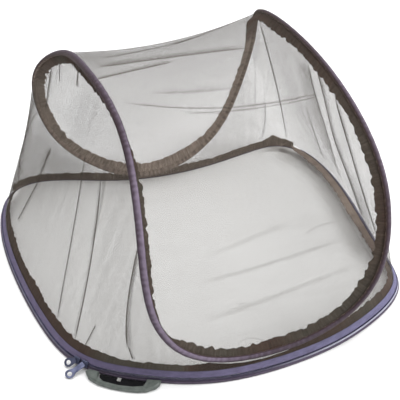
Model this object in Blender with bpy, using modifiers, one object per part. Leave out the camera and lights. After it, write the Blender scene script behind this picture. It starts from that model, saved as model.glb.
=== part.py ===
"""Pop-up travel mosquito net: a cloth base hoop with a zip, a canopy hoop bent into a saddle, and net panels.

Metres, +Z up. X runs left to right, -Y is the front, and the origin lies on the floor under the middle.
Sizes in the tables are millimetres."""

import math

import bmesh
import bpy
import numpy as np
from mathutils import Matrix, Vector

MM = 0.001
NAME = "travel_mosquito_net"

# Driving sizes, mm.
NET_THICK = 1.0
BAND_THICK = 1.0
TAPE_THICK = 1.0
MAT_THICK = 1.6
RUFFLE_GAP = 0.9  # from the canopy hoop's binding to the middle of each sheet's edge
ROOF_GAP = 1.1
WALL_GAP = 1.2
PANEL_GAP = 0.45  # each wall net stops short of the hoop's middle by this share of its thickness
CASING_WIDE = 12.5  # canopy hoop binding, across its flat face
CASING_DEEP = 7.5
BASE_CASING = 5.2  # base hoop binding, across
HINGE_BAND_WIDE = 16.0
HOOP_STATIONS = 84
BASE_STATIONS = 84
FINE_POINTS = 1440  # points of the base line from which its stations are picked
ROOF_ROWS = 9
WALL_ROWS = 7
TOP_SAG = 26.0  # how far the roof net bows in between the two peaks
WALL_SAG = 5.0
WALL_SAG_FULL = 300.0  # height of wall net that has the whole sag
SEAM_TURN = 38.0  # degrees round the canopy hoop from the roof net to the ruffle's seam
RUFFLE_LEAST = 3.0  # least width, and least room beyond its edge
RUFFLE_UNEVEN = 1.6  # how much its width varies either way
RUFFLE_RIPPLE = 1.2
HOOP_RIPPLE = 0.8
# Ripples round a hoop: turns, phase.
BASE_WIDTH_WAVE = (13, 0.4)
BASE_EDGE_WAVE = (17, 1.1)
HOOP_WIDTH_WAVE = (15, 0.9)
HOOP_EDGE_WAVE = (19, 0.2)
HOOP_MIDDLE = (0.0, -60.0, 110.0)  # the canopy hoop's binding faces away from here
ROOF_MIDDLE = (0.0, -60.0, 60.0)  # the roof net sags towards here
AIM_AHEAD = 4.0  # stations along the hoop at which the roof net's threads aim
MAT_MIDDLE = (0.0, -45.0, 0.0)
MAT_FLAT_SHARE = 0.82  # share of the way from the middle at which the mat starts to rise
MAT_CURL = 1.6
MAT_SHARES = (0.0, 0.5, MAT_FLAT_SHARE, 0.92, 1.0)  # rows of the mat, from its middle out
COIL_HALF = (0.55, 0.6)  # outward and up from the coil's middle to its edge
COIL_THICK = 2.4
CASING_SIDES = 8

# Centre line of the canopy hoop, round from the front by way of the right: place, x, y, z.
CANOPY_HOOP = (
    ("front trough", 1, -366, 32),
    ("front right foot", 120, -359, 55),
    ("front right rise", 196, -354, 146),
    ("front right shoulder", 219, -293, 280),
    ("right arch front", 202, -163, 379),
    ("right peak", 189, 5, 408),
    ("right arch back", 191, 170, 381),
    ("back right shoulder", 214, 260, 285),
    ("back right rise", 190, 276, 166),
    ("back right foot", 115, 244, 74),
    ("back trough", -12, 225, 29),
    ("back left foot", -130, 243, 61),
    ("back left rise", -215, 267, 149),
    ("back left shoulder", -236, 255, 277),
    ("left arch back", -204, 157, 365),
    ("left peak", -193, 3, 404),
    ("left arch front", -181, -164, 376),
    ("front left shoulder", -194, -294, 272),
    ("front left rise", -192, -350, 145),
    ("front left foot", -121, -360, 52),
)

# The canopy ruffle, hanging inside the two arches: place, hoop station, degrees in from the roof net, width.
CANOPY_RUFFLE = (
    ("front trough", 0, 32.0, 15.0),
    ("front right leg", 10, 20.0, 16.0),
    ("right arch front", 16, 66.0, 16.0),
    ("right peak", 23, 60.0, 16.0),
    ("right arch back", 28, 16.0, 18.0),
    ("back right leg", 33, 20.0, 17.0),
    ("back right foot", 38, 28.0, 17.0),
    ("back trough", 41.5, 32.0, 24.0),
    ("back left foot", 46, 28.0, 17.0),
    ("back left leg", 53, 20.0, 16.0),
    ("left arch back", 57, 66.0, 17.0),
    ("left peak", 61, 103.0, 16.0),
    ("left arch front", 66, 103.0, 14.0),
    ("front left shoulder", 70, 20.0, 12.0),
    ("front left leg", 74, 20.0, 12.0),
    ("front, left of middle", 79, 28.0, 15.0),
)

# Soft folds in the wall nets: place, hoop station and foot station of the fold's line, depth outward in mm,
# and half its width in stations.
WALL_FOLDS = (
    ("left, behind the corner", 65.0, 70.0, 3.5, 1.1),
    ("left, at the corner", 67.5, 72.4, -3.5, 1.2),
    ("left, beside the front leg", 75.5, 78.2, 3.5, 1.1),
    ("back left corner", 57.0, 54.6, 4.0, 1.2),
    ("left arch", 61.5, 63.0, -3.0, 1.3),
    ("back right corner", 27.2, 30.8, 4.5, 1.2),
    ("right, upper fan", 22.4, 24.6, -4.0, 1.1),
    ("right, middle fan", 20.0, 23.0, 4.0, 1.1),
    ("right, lower fan", 17.4, 21.4, -3.5, 1.1),
    ("front right corner", 11.5, 13.5, 3.0, 1.2),
)

# Line of the zip along the base hoop, round from the front by way of the right: place, x, y.
BASE_HOOP = (
    ("front, right of middle", 78, -367),
    ("front right", 200, -328),
    ("front right corner", 296, -256),
    ("right front", 320, -140),
    ("right", 340, 24),
    ("right back", 339, 177),
    ("back right corner", 294, 266),
    ("back right", 206, 265),
    ("back, right of middle", 75, 241),
    ("back, left of middle", -73, 252),
    ("back left", -205, 298),
    ("back left corner", -297, 285),
    ("left back", -343, 176),
    ("left", -350, 22),
    ("left front", -334, -136),
    ("front left corner", -294, -257),
    ("front left", -200, -330),
    ("front, left of middle", -76, -373),
)

# Section of the base edge: place, distance outside the zip line, height.
BASE_SECTION = {
    "casing": (1.5, 2.8),
    "mat edge": (-1.6, 4.4),
    "lower tape foot": (2.3, 6.2),
    "lower tape top": (0.95, 8.25),
    "coil": (0.1, 9.4),
    "upper tape foot": (-0.8, 10.55),
    "upper tape top": (-6.5, 17.0),
    "net foot at zip": (-7.0, 17.9),
    "net foot at hinge": (-1.6, 7.4),
    "band foot at zip": (-8.4, 17.1),
    "band foot at hinge": (0.6, 7.4),
}
HINGE_LEAN = -2.0
HINGE_BAND_INSET = (4, 3)  # stations from the zip's two ends to the hinge ruffle's, right and left
HINGE_DROP = (1.0, 2.0)  # stations past the zip's end where the seam starts to drop, and over which it does
# The base ruffle, lying over at the front and right: place, base station, degrees in from upright, width.
BASE_RUFFLE = (
    ("back left end of the zip", -30, 34.0, 16.0),
    ("left front", -18, 34.0, 18.0),
    ("front left corner", -12, 45.0, 14.5),
    ("beside the handle", -8.5, 82.0, 14.0),
    ("front, left of middle", -5, 84.0, 14.0),
    ("front", -2, 50.0, 15.0),
    ("front, right of middle", 3, 34.0, 16.0),
    ("front right corner", 11, 34.0, 16.0),
    ("right front", 14, 66.0, 16.0),
    ("right", 17, 86.0, 16.0),
    ("back right end of the zip", 29, 86.0, 16.0),
)
ZIP_ENDS = ((322, 232), (-322, 250))  # x, y where the zip stops, right then left

# Moulded carry handle, lying outside the front left of the base hoop.
HANDLE_PLACE = (-234.0, -316.0)
HANDLE_TURN = math.radians(-33.5)
GRIP_HIGH = 9.0
PLATE_HIGH = 2.6
FLOOR_GAP = 0.2
# Corners of the grip's outer and inner edges: along the handle, out from its root.
GRIP_OUTER = (
    (-65, 3), (-57, 14), (-39, 22.3), (-16, 25.7), (10, 25.7), (28, 23.5), (41, 19.5), (52, 11), (57, 2),
)
GRIP_INNER = ((38, 4), (36, 15), (18, 21), (-5, 23), (-32, 20.5), (-44, 12), (-47, 4))
GRIP_FEET = (57, 38, -47, -62)  # where the grip's two roots start and end along the handle
GRIP_ROUND = 2.0
PLATE_INSET = 1.0
PLATE_EDGE = 0.4
GRIP_GAP = 0.6  # from the base hoop's binding
ROOT_BACK = 0.3  # the hoop's binding curves away behind the handle: how far, from where, how fast
ROOT_MIDDLE = -11.0
ROOT_CURVE = 0.00125
PLATE_BACK = (-43, -27, -11, 3, 18, 34)  # stations of the plate's back edge
PLATE_GAP = 1.1
CLIP_PLACE = (-9.0, 5.6)  # along the handle, out from its root
CLIP_SIZE = (6.5, 8.0, 1.2)
CLIP_EDGE = 0.3
CLIP_LIFT = 1.0  # from the plate's face to the clip's middle

# Zip sliders: name, base station, middle of its pull's eye.
SLIDERS = (("a", 72.22, (-313.2, -253.0, 8.0)), ("b", 72.8, (-317.6, -277.9, 5.5)))
SLIDER_LONG = 12.5
SLIDER_WIDE = 11.0
SLIDER_DEEP = 4.0
SLIDER_EDGE = 0.8
SLIDER_DROP = 1.2  # below the coil's middle, down the slope of the zip
COIL_ROOM = 1.9  # from the coil's middle to the slider's inner face
PULL_ROOM = 0.65  # from the slider's outer face to the pull's root
PULL_THICK = 1.8
EYE_RADIUS = 7.6
EYE_HOLE = 4.5
STEM_HALF = 4.4
PULL_EDGE = 0.25
EYE_STEP = 36  # degrees between the corners of the eye's outline
EYE_TURN = 126  # degrees round the eye from its tip to the stem
NECK = 1.3  # from the eye's middle to where the stem starts, in eye radii


def clear_scene():
    for item in list(bpy.data.objects):
        bpy.data.objects.remove(item, do_unlink=True)


def collection():
    group = bpy.data.collections.new(NAME)
    bpy.context.scene.collection.children.link(group)
    return group


def material(name, colour, roughness, metallic=0.0, alpha=1.0):
    made = bpy.data.materials.new(name)
    made.use_nodes = True
    shader = made.node_tree.nodes["Principled BSDF"]
    shader.inputs["Base Color"].default_value = (*colour, 1.0)
    shader.inputs["Roughness"].default_value = roughness
    shader.inputs["Metallic"].default_value = metallic
    shader.inputs["Alpha"].default_value = alpha
    return made


def unit(vectors):
    return vectors / np.linalg.norm(vectors, axis=-1, keepdims=True)


def smooth_loop(stations, count):
    """A smooth closed curve through the stations, as count points evenly spaced along it."""
    points = np.array(stations, float)
    size = len(points)
    matrix = 4.0 * np.eye(size) + np.roll(np.eye(size), 1, 1) + np.roll(np.eye(size), -1, 1)
    slopes = np.linalg.solve(matrix, 3.0 * (np.roll(points, -1, 0) - np.roll(points, 1, 0)))
    t = np.linspace(0.0, 1.0, 40, endpoint=False)[None, :, None]
    ends = np.roll(points, -1, 0)[:, None, :]
    end_slopes = np.roll(slopes, -1, 0)[:, None, :]
    fine = (
        points[:, None, :] * (2 * t**3 - 3 * t**2 + 1)
        + slopes[:, None, :] * (t**3 - 2 * t**2 + t)
        + ends * (3 * t**2 - 2 * t**3)
        + end_slopes * (t**3 - t**2)
    ).reshape(-1, points.shape[1])
    return spread(fine, count, 0)


def spread(fine, count, start):
    """count evenly spaced points along the closed polyline, from its point number start."""
    fine = np.roll(fine, -start, 0)
    closed = np.vstack([fine, fine[:1]])
    along = np.concatenate([[0.0], np.cumsum(np.linalg.norm(np.diff(closed, axis=0), axis=1))])
    places = np.arange(count) * along[-1] / count
    return np.stack([np.interp(places, along, column) for column in closed.T], 1)


def tangents(loop):
    return unit(np.roll(loop, -1, 0) - np.roll(loop, 1, 0))


def across(vectors, axis):
    """The unit part of each vector that is square to the axis."""
    return unit(vectors - (vectors * axis).sum(-1, keepdims=True) * axis)


def turned(vectors, axis, degrees):
    """Each vector, square to its axis, turned about it."""
    angle = np.radians(degrees)
    return vectors * np.cos(angle) + np.cross(axis, vectors) * np.sin(angle)


class BaseLine:
    """The base hoop's zip line, with offsets outward and up."""

    def __init__(self):
        fine = smooth_loop([row[1:] for row in BASE_HOOP], FINE_POINTS)
        front = int(np.argmin(np.abs(fine[:, 0]) + np.where(fine[:, 1] < 0, 0, 1e6)))
        self.loop = spread(fine, BASE_STATIONS, front)
        heading = tangents(self.loop)
        self.out = np.stack([heading[:, 1], -heading[:, 0]], 1)

    def offset(self, outward, height):
        outward = np.broadcast_to(outward, BASE_STATIONS)
        height = np.broadcast_to(height, BASE_STATIONS)
        flat = self.loop + self.out * outward[:, None]
        return np.column_stack([flat, height])

    def nearest(self, x, y):
        return int(np.argmin(np.hypot(self.loop[:, 0] - x, self.loop[:, 1] - y)))


class CanopyLine:
    """The canopy hoop's centre line, with the ways its panels and ruffle leave it."""

    def __init__(self, feet):
        self.loop = smooth_loop([row[1:] for row in CANOPY_HOOP], HOOP_STATIONS)
        self.along = tangents(self.loop)
        half = HOOP_STATIONS // 2
        mirror = -np.arange(HOOP_STATIONS) % HOOP_STATIONS
        middle = (self.loop + self.loop[mirror]) / 2
        row = np.minimum(np.arange(HOOP_STATIONS), mirror)
        ahead = row + AIM_AHEAD * np.cos(np.pi * row / half)
        aim = np.stack([np.interp(ahead, np.arange(half + 1), c) for c in middle[: half + 1].T], 1)
        self.to_roof = across(aim - self.loop, self.along)
        self.to_wall = across(feet - self.loop, self.along)
        self.outward = -across(np.array(HOOP_MIDDLE) - self.loop, self.along)
        self.flat = np.cross(self.along, self.outward)

    def radius(self, way):
        """Distance from the centre line to the casing's surface, that way."""
        wide = (way * self.flat).sum(1) / (CASING_WIDE / 2)
        deep = (way * self.outward).sum(1) / (CASING_DEEP / 2)
        return 1.0 / np.hypot(wide, deep)

    def edge(self, way, gap):
        return self.loop + way * (self.radius(way) + gap)[:, None]


def add_object(name, mesh, group, finish, smooth=True):
    made = bpy.data.objects.new(name, mesh)
    made.data.materials.append(finish)
    group.objects.link(made)
    if smooth:
        mesh.shade_smooth()
    return made


def cloth(name, group, finish, rows, thick, closed=False):
    """A sheet through rows of points in mm: rows[i][j] is point j of row i. Closed joins each row's ends."""
    rows = np.asarray(rows, float)
    across_count, along_count = rows.shape[:2]
    if closed:
        rows = np.concatenate([rows, rows[:, :1]], 1)
        along_count += 1
    made = bmesh.new()
    bmesh.ops.create_grid(made, x_segments=along_count - 1, y_segments=across_count - 1, size=0.5)
    for point in made.verts:
        j = round((point.co.x + 0.5) * (along_count - 1))
        i = round((point.co.y + 0.5) * (across_count - 1))
        point.co = rows[i, j] * MM
    bmesh.ops.remove_doubles(made, verts=made.verts, dist=1e-6)
    bmesh.ops.recalc_face_normals(made, faces=made.faces)
    mesh = bpy.data.meshes.new(name)
    made.to_mesh(mesh)
    made.free()
    sheet = add_object(name, mesh, group, finish)
    solid = sheet.modifiers.new("thickness", "SOLIDIFY")
    solid.thickness = thick * MM
    solid.offset = 0.0
    return sheet


def ring_body(name, group, finish, sections):
    """A closed bar round a closed line: sections[k] holds the points round the bar at station k."""
    sections = np.asarray(sections, float)
    stations, sides = sections.shape[:2]
    made = bmesh.new()
    bmesh.ops.create_grid(made, x_segments=stations, y_segments=sides, size=0.5)
    for point in made.verts:
        k = round((point.co.x + 0.5) * stations) % stations
        side = round((point.co.y + 0.5) * sides) % sides
        point.co = sections[k, side] * MM
    bmesh.ops.remove_doubles(made, verts=made.verts, dist=1e-6)
    bmesh.ops.recalc_face_normals(made, faces=made.faces)
    mesh = bpy.data.meshes.new(name)
    made.to_mesh(mesh)
    made.free()
    return add_object(name, mesh, group, finish)


def strip_rows(base, spots, first, last):
    """Points of a strip along the base line, between two stations, through the named spots of the section."""
    picked = np.arange(first, last + 1) % BASE_STATIONS
    return [base.offset(*BASE_SECTION[spot])[picked] for spot in spots]


def zip_span(base):
    """First and last station of the zip, going round by the front."""
    right = base.nearest(*ZIP_ENDS[0])
    left = base.nearest(*ZIP_ENDS[1])
    return left - BASE_STATIONS, right


def hinge_share(base):
    """0 along the zip, 1 along the hinge at the back, with a short ramp past each zip end."""
    first, last = zip_span(base)
    station = np.arange(BASE_STATIONS)
    past = np.minimum(station - last, (first + BASE_STATIONS) - station)
    ramp = np.clip((past - HINGE_DROP[0]) / HINGE_DROP[1], 0.0, 1.0)
    return ramp * ramp * (3.0 - 2.0 * ramp)


def net_feet(base):
    """The line where the wall net leaves the base: the zip's tape, or the seam along the hinge."""
    share = hinge_share(base)
    zipped = np.array(BASE_SECTION["net foot at zip"])
    hinged = np.array(BASE_SECTION["net foot at hinge"])
    spot = zipped[:, None] * (1 - share) + hinged[:, None] * share
    return base.offset(spot[0], spot[1])


def wave(count, turns, phase):
    """An uneven ripple of about -1 to 1 with whole turns round the loop."""
    angle = np.arange(count) * 2 * np.pi / count
    return 0.6 * np.sin(turns * angle + phase) + 0.4 * np.sin(int(1.7 * turns) * angle + 2.0 * phase)


def build_base(group, base, canopy):
    white = material("white_base_fabric", (0.78, 0.78, 0.76), 0.9)
    purple = material("purple_binding", (0.16, 0.12, 0.19), 0.75)
    lavender = material("lavender_zip_tape", (0.26, 0.25, 0.38), 0.8)
    dark = material("zip_coil", (0.12, 0.11, 0.2), 0.45)
    taupe = material("taupe_seam_band", (0.13, 0.105, 0.085), 0.9)

    edge = base.offset(*BASE_SECTION["mat edge"])
    centre = np.array(MAT_MIDDLE)
    rows = []
    for share in MAT_SHARES:
        row = centre + (edge - centre) * share
        rise = max(0.0, (share - MAT_FLAT_SHARE) / (1.0 - MAT_FLAT_SHARE)) ** MAT_CURL
        row[:, 2] = MAT_THICK / 2 + (BASE_SECTION["mat edge"][1] - MAT_THICK / 2) * rise
        rows.append(row)
    cloth("base_mat", group, white, rows, MAT_THICK, closed=True)

    out, height = BASE_SECTION["casing"]
    angles = (np.arange(CASING_SIDES) + 0.5) * 2 * np.pi / CASING_SIDES
    round_section = [
        base.offset(out + BASE_CASING / 2 * np.cos(a), height + BASE_CASING / 2 * np.sin(a)) for a in angles
    ]
    ring_body("base_hoop_casing", group, purple, np.stack(round_section, 1))

    first, last = zip_span(base)
    lower = strip_rows(base, ("lower tape foot", "lower tape top"), first, last)
    cloth("zip_tape_lower", group, lavender, lower, TAPE_THICK)
    upper = strip_rows(base, ("upper tape foot", "upper tape top"), first, last)
    cloth("zip_tape_upper", group, lavender, upper, TAPE_THICK)
    picked = np.arange(first, last + 1) % BASE_STATIONS
    out, height = BASE_SECTION["coil"]
    half_out, half_up = COIL_HALF
    coil = [base.offset(out + half_out, height - half_up), base.offset(out - half_out, height + half_up)]
    cloth("zip_coil", group, dark, [row[picked] for row in coil], COIL_THICK)

    feet = net_feet(base)
    apart = np.linalg.norm(feet[:, None, :] - canopy.loop[None], axis=2).min(1)
    room = apart - CASING_WIDE / 2 - RUFFLE_LEAST
    station = np.arange(BASE_STATIONS)
    station = np.where(station >= BASE_STATIONS + BASE_RUFFLE[0][1], station - BASE_STATIONS, station)
    _, spots, leans, widths = zip(*BASE_RUFFLE)
    lean = np.radians(np.interp(station, spots, leans))
    full = np.interp(station, spots, widths) + RUFFLE_UNEVEN * wave(BASE_STATIONS, *BASE_WIDTH_WAVE)
    reach = np.clip(np.minimum(full, room), RUFFLE_LEAST, None)
    out, height = BASE_SECTION["band foot at zip"]
    ease = np.clip(reach / RUFFLE_LEAST / 2 - 1.0, 0.0, 1.0)
    ripple = RUFFLE_RIPPLE * wave(BASE_STATIONS, *BASE_EDGE_WAVE) * ease
    low = base.offset(out, height)
    middle = base.offset(out - reach * 0.5 * np.sin(lean), height + reach * 0.5 * np.cos(lean))
    high = base.offset(out - reach * np.sin(lean) - ripple, height + reach * np.cos(lean) - 0.5 * ripple)
    cloth("base_ruffle", group, taupe, [row[picked] for row in (low, middle, high)], BAND_THICK)

    back = np.arange(last + HINGE_BAND_INSET[0], first + BASE_STATIONS - HINGE_BAND_INSET[1])
    lean = np.radians(HINGE_LEAN)
    out, height = BASE_SECTION["band foot at hinge"]
    low = base.offset(out, height)
    full = HINGE_BAND_WIDE + RUFFLE_UNEVEN * wave(BASE_STATIONS, *BASE_WIDTH_WAVE)
    high = base.offset(out - full * np.sin(lean), height + full * np.cos(lean))
    cloth("hinge_ruffle", group, taupe, [row[back] for row in (low, high)], BAND_THICK)


def build_canopy(group, base, canopy, feet):
    purple = material("lavender_hoop_binding", (0.2, 0.17, 0.24), 0.75)
    taupe = material("taupe_hoop_band", (0.13, 0.105, 0.085), 0.9)
    mesh_cloth = material("brown_grey_net", (0.3, 0.27, 0.24), 0.9, alpha=0.35)

    angles = (np.arange(CASING_SIDES) + 0.5) * 2 * np.pi / CASING_SIDES
    sections = [
        canopy.loop
        + canopy.flat * (CASING_WIDE / 2 * math.cos(a))
        + canopy.outward * (CASING_DEEP / 2 * math.sin(a))
        for a in angles
    ]
    ring_body("canopy_hoop_casing", group, purple, np.stack(sections, 1))

    # The turn from the roof net to the inside has the opposite sense on the two sides of the hoop.
    half = HOOP_STATIONS // 2
    inward = np.sign((np.cross(canopy.along, canopy.to_roof) * -canopy.outward).sum(1))
    start_way = turned(canopy.to_roof, canopy.along, (inward * SEAM_TURN)[:, None])
    _, spots, leans, widths = zip(*CANOPY_RUFFLE)
    station = np.arange(HOOP_STATIONS)
    lean = np.interp(station, spots, leans, period=HOOP_STATIONS)
    full = np.interp(station, spots, widths, period=HOOP_STATIONS)
    band_way = turned(canopy.to_roof, canopy.along, (inward * lean)[:, None])
    low = canopy.edge(start_way, RUFFLE_GAP)
    reach = (full + RUFFLE_UNEVEN * wave(HOOP_STATIONS, *HOOP_WIDTH_WAVE))[:, None]
    ripple = canopy.outward * (-HOOP_RIPPLE * (1.0 + wave(HOOP_STATIONS, *HOOP_EDGE_WAVE)))[:, None]
    rows = [low, low + band_way * reach * 0.5, low + band_way * reach + ripple]
    cloth("canopy_ruffle", group, taupe, rows, BAND_THICK, closed=True)

    roof_edge = canopy.edge(canopy.to_roof, ROOF_GAP)
    right = roof_edge[: half + 1]
    left = roof_edge[-np.arange(half + 1) % HOOP_STATIONS]
    span = right - left
    width = np.linalg.norm(span, axis=1)
    ridge = (right + left) / 2
    slope = np.gradient(ridge, axis=0)
    inside = across(np.array(ROOF_MIDDLE) - ridge, unit(slope))
    inside = across(inside, unit(span + 1e-9))
    rows = []
    for share in np.linspace(0.0, 1.0, ROOF_ROWS):
        bow = 4.0 * share * (1.0 - share) * TOP_SAG * (width / width.max()) ** 2
        rows.append(left + span * share + inside * bow[:, None])
    cloth("net_top", group, mesh_cloth, np.array(rows)[:, 1:-1], NET_THICK)

    wall_edge = canopy.edge(canopy.to_wall, WALL_GAP)
    drop = feet - wall_edge
    inside = -np.column_stack([base.out, np.zeros(BASE_STATIONS)])
    tall = np.linalg.norm(drop, axis=1)
    rows = []
    for share in np.linspace(0.0, 1.0, WALL_ROWS):
        bow = 4.0 * share * (1.0 - share) * WALL_SAG * np.clip(tall / WALL_SAG_FULL, 0.0, 1.0) ** 2
        for _, top, foot, depth, width in WALL_FOLDS:
            line = top + (foot - top) * share
            bow -= math.sin(math.pi * share) * depth * np.exp(-(((station - line) / width) ** 2))
        rows.append(wall_edge + drop * share + inside * bow[:, None])
    rows = np.array(rows)
    share = NET_THICK * PANEL_GAP / np.linalg.norm(rows[:, 1] - rows[:, 0], axis=1)[:, None]
    for name, picked in (("net_right", np.arange(half + 1)), ("net_left", half + np.arange(half + 1))):
        panel = rows[:, picked % HOOP_STATIONS].copy()
        panel[:, 0] += (panel[:, 1] - panel[:, 0]) * share
        panel[:, -1] += (panel[:, -2] - panel[:, -1]) * share
        cloth(name, group, mesh_cloth, panel, NET_THICK)


def flat_outline(name, group, finish, outlines, thick, bevel):
    """A flat plate from closed outlines in its own plane, in mm; an outline inside another is a hole."""
    curve = bpy.data.curves.new(name, "CURVE")
    curve.dimensions = "2D"
    curve.fill_mode = "BOTH"
    curve.bevel_depth = bevel * MM
    curve.bevel_resolution = 0
    curve.extrude = (thick / 2 - bevel) * MM
    for outline in outlines:
        line = curve.splines.new("POLY")
        line.points.add(len(outline) - 1)
        line.use_cyclic_u = True
        for point, (x, y) in zip(line.points, outline):
            point.co = (x * MM, y * MM, 0.0, 1.0)
    curve.materials.append(finish)
    plate = bpy.data.objects.new(name, curve)
    group.objects.link(plate)
    return plate


def box(name, group, finish, size, bevel):
    """A box of this size in mm with small bevelled edges."""
    made = bmesh.new()
    bmesh.ops.create_cube(made, size=MM)
    for point in made.verts:
        point.co = [co * side for co, side in zip(point.co, size)]
    mesh = bpy.data.meshes.new(name)
    made.to_mesh(mesh)
    made.free()
    block = add_object(name, mesh, group, finish, smooth=False)
    edge = block.modifiers.new("soft edges", "BEVEL")
    edge.width = bevel * MM
    edge.segments = 1
    return block


def stand(item, place, along, up):
    """Puts an object at a place in mm, with its X along one way and its Z as near as can be to the other."""
    x = Vector(along).normalized()
    y = Vector(up).cross(x).normalized()
    z = x.cross(y)
    item.matrix_world = Matrix.Translation(Vector(place) * MM) @ Matrix((x, y, z)).transposed().to_4x4()


def build_handle(group):
    grey = material("grey_handle_plastic", (0.16, 0.18, 0.17), 0.35)
    black = material("black_handle_plate", (0.015, 0.015, 0.017), 0.5)
    steel = material("clip_metal", (0.6, 0.6, 0.58), 0.35, 1.0)

    def root(run, gap):
        """The edge of the base hoop's binding, seen from the handle."""
        return gap - ROOT_BACK - ROOT_CURVE * (run - ROOT_MIDDLE) ** 2

    outer = [(run, -out) for run, out in GRIP_OUTER]
    inner = [(run, -out) for run, out in GRIP_INNER]
    gap = GRIP_GAP + GRIP_ROUND
    feet = [(run, -root(run, gap)) for run in GRIP_FEET[:2]]
    far_feet = [(run, -root(run, gap)) for run in GRIP_FEET[2:]]
    outline = outer + feet + inner + far_feet
    grip = flat_outline("handle_grip", group, grey, [outline], GRIP_HIGH, GRIP_ROUND)
    inset = GRIP_ROUND + PLATE_INSET
    plate_front = [(run - math.copysign(inset, run), inset - out) for run, out in GRIP_INNER]
    plate_back = [(run, -root(run, PLATE_GAP)) for run in PLATE_BACK]
    plate = flat_outline("handle_plate", group, black, [plate_front + plate_back], PLATE_HIGH, PLATE_EDGE)
    clip = box("handle_clip", group, steel, CLIP_SIZE, CLIP_EDGE)
    away = Vector((math.sin(HANDLE_TURN), -math.cos(HANDLE_TURN)))
    along = Vector((math.cos(HANDLE_TURN), math.sin(HANDLE_TURN)))
    centre = Vector(HANDLE_PLACE)
    clip_place = centre + along * CLIP_PLACE[0] + away * CLIP_PLACE[1]
    heights = (
        (grip, centre, FLOOR_GAP + GRIP_HIGH / 2),
        (plate, centre, FLOOR_GAP + PLATE_HIGH / 2),
        (clip, clip_place, FLOOR_GAP + PLATE_HIGH + CLIP_LIFT),
    )
    for item, place, height in heights:
        stand(item, (*place, height), (*along, 0.0), (0.0, 0.0, 1.0))


def build_sliders(group, base):
    metal = material("slider_metal", (0.1, 0.11, 0.17), 0.35, 0.8)
    foot = np.array(BASE_SECTION["lower tape foot"])
    top = np.array(BASE_SECTION["upper tape top"])
    climb_out, climb_up = (top - foot) / np.linalg.norm(top - foot)
    coil_out, coil_high = BASE_SECTION["coil"]
    for name, station, eye_place in SLIDERS:
        before = int(station)
        share = station - before
        spot = base.loop[before] * (1 - share) + base.loop[before + 1] * share
        out = np.array([*(base.out[before] * (1 - share) + base.out[before + 1] * share), 0.0])
        out /= np.linalg.norm(out)
        back = np.array([out[1], -out[0], 0.0])
        climb = out * climb_out + np.array([0.0, 0.0, climb_up])
        normal = np.cross(climb, back)
        place = np.array([*spot, coil_high]) + out * coil_out - climb * SLIDER_DROP
        place += normal * (COIL_ROOM + SLIDER_DEEP / 2)
        body = box("zip_slider_" + name, group, metal, (SLIDER_LONG, SLIDER_WIDE, SLIDER_DEEP), SLIDER_EDGE)
        stand(body, place, back, normal)

        root = place + normal * (SLIDER_DEEP / 2 + PULL_ROOM + PULL_THICK / 2)
        way = np.array(eye_place) - root
        long = float(np.linalg.norm(way))
        outline = [
            (long + EYE_RADIUS * math.cos(a), EYE_RADIUS * math.sin(a))
            for a in np.radians(range(-EYE_TURN, EYE_TURN + 1, EYE_STEP))
        ]
        outline += [(long - NECK * EYE_RADIUS, STEM_HALF), (0.0, STEM_HALF)]
        outline += [(0.0, -STEM_HALF), (long - NECK * EYE_RADIUS, -STEM_HALF)]
        hole = [
            (long + EYE_HOLE * math.cos(a), EYE_HOLE * math.sin(a))
            for a in np.radians(range(0, 360, EYE_STEP))
        ]
        pull = flat_outline("zip_pull_" + name, group, metal, [outline, hole], PULL_THICK, PULL_EDGE)
        stand(pull, root, way, normal)


def main():
    clear_scene()
    group = collection()
    base = BaseLine()
    feet = net_feet(base)
    canopy = CanopyLine(feet)
    build_base(group, base, canopy)
    build_canopy(group, base, canopy, feet)
    build_handle(group)
    build_sliders(group, base)


main()
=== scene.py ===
import math

import bpy
import numpy as np
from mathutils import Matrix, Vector


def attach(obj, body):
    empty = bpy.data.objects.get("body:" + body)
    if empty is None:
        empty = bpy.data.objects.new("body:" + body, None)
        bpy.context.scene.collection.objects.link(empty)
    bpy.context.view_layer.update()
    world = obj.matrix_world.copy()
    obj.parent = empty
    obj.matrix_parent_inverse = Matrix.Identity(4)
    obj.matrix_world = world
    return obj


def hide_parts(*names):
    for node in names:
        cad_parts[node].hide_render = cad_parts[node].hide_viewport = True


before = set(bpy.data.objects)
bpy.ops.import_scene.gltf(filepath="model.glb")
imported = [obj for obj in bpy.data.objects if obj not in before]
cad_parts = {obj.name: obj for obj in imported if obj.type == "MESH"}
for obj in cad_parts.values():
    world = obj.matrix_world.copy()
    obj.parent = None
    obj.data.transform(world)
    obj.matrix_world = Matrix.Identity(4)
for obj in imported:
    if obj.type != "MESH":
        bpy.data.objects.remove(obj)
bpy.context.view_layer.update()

MM = 0.001

# Camera at the photograph's viewpoint, metres.
CAMERA_PLACE = (-0.5295, -1.5064, 1.1866)
CAMERA_AIM = (0.0102, 0.0070, 0.0912)
CAMERA_LENS = 92.5
CAMERA_SHIFT = 0.00085

# Driving sizes, mm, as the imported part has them.
MAT_THICK = 1.6
CASING_WIDE = 12.5
CASING_DEEP = 7.5
BASE_CASING = 5.2
BAND_WIDE = 16.0
STATIONS = 84
TOP_SAG = 26.0
WALL_SAG = 5.0
WALL_SAG_FULL = 300.0  # height of wall net that has the whole sag
SEAM_TURN = 38.0  # degrees round the canopy hoop from the roof net to the ruffle's seam
RUFFLE_LEAST = 3.0  # least width of the base ruffle, and least room beyond its edge
HOOP_MIDDLE = (0.0, -60.0, 110.0)  # the canopy hoop's binding faces away from here
ROOF_MIDDLE = (0.0, -60.0, 60.0)  # the roof net sags towards here
AIM_AHEAD = 4.0  # stations along the hoop at which the roof net's threads aim
MAT_MIDDLE = (0.0, -45.0, 0.0)
MAT_FLAT_SHARE = 0.82  # share of the way from the middle at which the mat starts to rise
MAT_CURL = 1.6

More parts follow.
